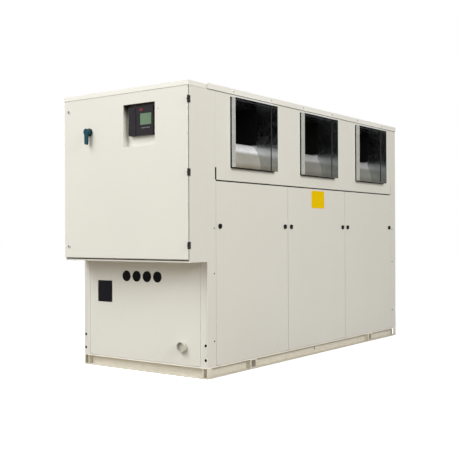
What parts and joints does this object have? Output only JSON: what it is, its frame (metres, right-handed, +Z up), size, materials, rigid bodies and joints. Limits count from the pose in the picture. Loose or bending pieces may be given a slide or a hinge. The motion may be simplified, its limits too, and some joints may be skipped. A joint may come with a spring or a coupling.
{
  "type": "air cooled water chiller",
  "caption": "Cream sheet-steel packaged water chiller on a channel skid, with centrifugal fan outlets along one long side and a hinged-door control box on one end.",
  "frame": {"origin": "on the floor, in the middle of the skid's underside", "axes": "+X along the cabinet away from the control end, -Y the way the fans blow, +Z up"},
  "size_m": [3.2954, 1.274, 2.06],
  "materials": {
    "cream_paint": "satin powder coat",
    "galvanised": "galvanised sheet",
    "shaft_steel": "ground",
    "bearing_iron": "painted",
    "coil_fins": "finned",
    "black_plastic": "moulded",
    "black_metal": "satin black",
    "black_rubber": "moulded",
    "lock_metal": "plated",
    "display_plastic": "fine texture",
    "display_lcd": "clear cover",
    "handle_plastic": "moulded"
  },
  "bodies": {
    "cabinet": {"base_rail_front": "cream_paint", "base_rail_back": "cream_paint", "base_rail_control_end": "cream_paint", "base_rail_far_end": "cream_paint", "base_cross_rail": "cream_paint", "base_corner_plates": "cream_paint", "base_pan": "galvanised", "lifting_tubes": "cream_paint", "post_front_left": "cream_paint", "post_front_right": "cream_paint", "post_back_left": "cream_paint", "post_back_right": "cream_paint", "mid_rails": "galvanised", "roof": "cream_paint", "fan_panel": "cream_paint", "service_panel_front_1": "cream_paint", "service_panel_front_2": "cream_paint", "service_panel_front_3": "cream_paint", "service_panels_back": "cream_paint", "panel_knobs": "black_plastic", "end_panel_control": "cream_paint", "end_panels_far": "cream_paint", "coil_frame": "galvanised", "coil_block": "coil_fins", "outlet_sleeve_1": "galvanised", "outlet_sleeve_2": "galvanised", "outlet_sleeve_3": "galvanised", "fan_scroll_1": "galvanised", "fan_scroll_2": "galvanised", "fan_scroll_3": "galvanised", "fan_sides_1": "galvanised", "fan_sides_2": "galvanised", "fan_sides_3": "galvanised", "fan_bearings_1": "bearing_iron", "fan_bearings_2": "bearing_iron", "fan_bearings_3": "bearing_iron", "control_box": "cream_paint", "control_box_cap": "cream_paint", "mounting_plate": "galvanised", "door_hinges_fixed": "black_metal", "cable_entries": "black_rubber", "water_pipe": "cream_paint"},
    "door": {"control_door": "cream_paint", "door_hinges_moving": "black_metal", "door_locks": "lock_metal", "display_housing": "display_plastic", "display_screen": "display_lcd", "isolator_plate": "black_plastic"},
    "handle": {"isolator_handle": "handle_plastic"},
    "wheel_1": {"fan_wheel_1": "galvanised", "fan_shaft_1": "shaft_steel"},
    "wheel_2": {"fan_wheel_2": "galvanised", "fan_shaft_2": "shaft_steel"},
    "wheel_3": {"fan_wheel_3": "galvanised", "fan_shaft_3": "shaft_steel"}
  },
  "joints": [
    {"name": "door_swing", "type": "hinge", "parent": "cabinet", "child": "door", "pos_m": [-1.733, -0.616, 1.4], "axis": [0, 0, 1], "range_deg": [0, 120]},
    {"name": "handle_turn", "type": "hinge", "parent": "door", "child": "handle", "pos_m": [-1.75, 0.33, 1.766], "axis": [1, 0, 0], "range_deg": [0, 90]},
    {"name": "fan_1_spin", "type": "hinge", "parent": "cabinet", "child": "wheel_1", "pos_m": [-0.96, -0.01967, 1.574], "axis": [1, 0, 0], "continuous": true},
    {"name": "fan_2_spin", "type": "hinge", "parent": "cabinet", "child": "wheel_2", "pos_m": [0, -0.01967, 1.574], "axis": [1, 0, 0], "continuous": true},
    {"name": "fan_3_spin", "type": "hinge", "parent": "cabinet", "child": "wheel_3", "pos_m": [0.96, -0.01967, 1.574], "axis": [1, 0, 0], "continuous": true}
  ]
}
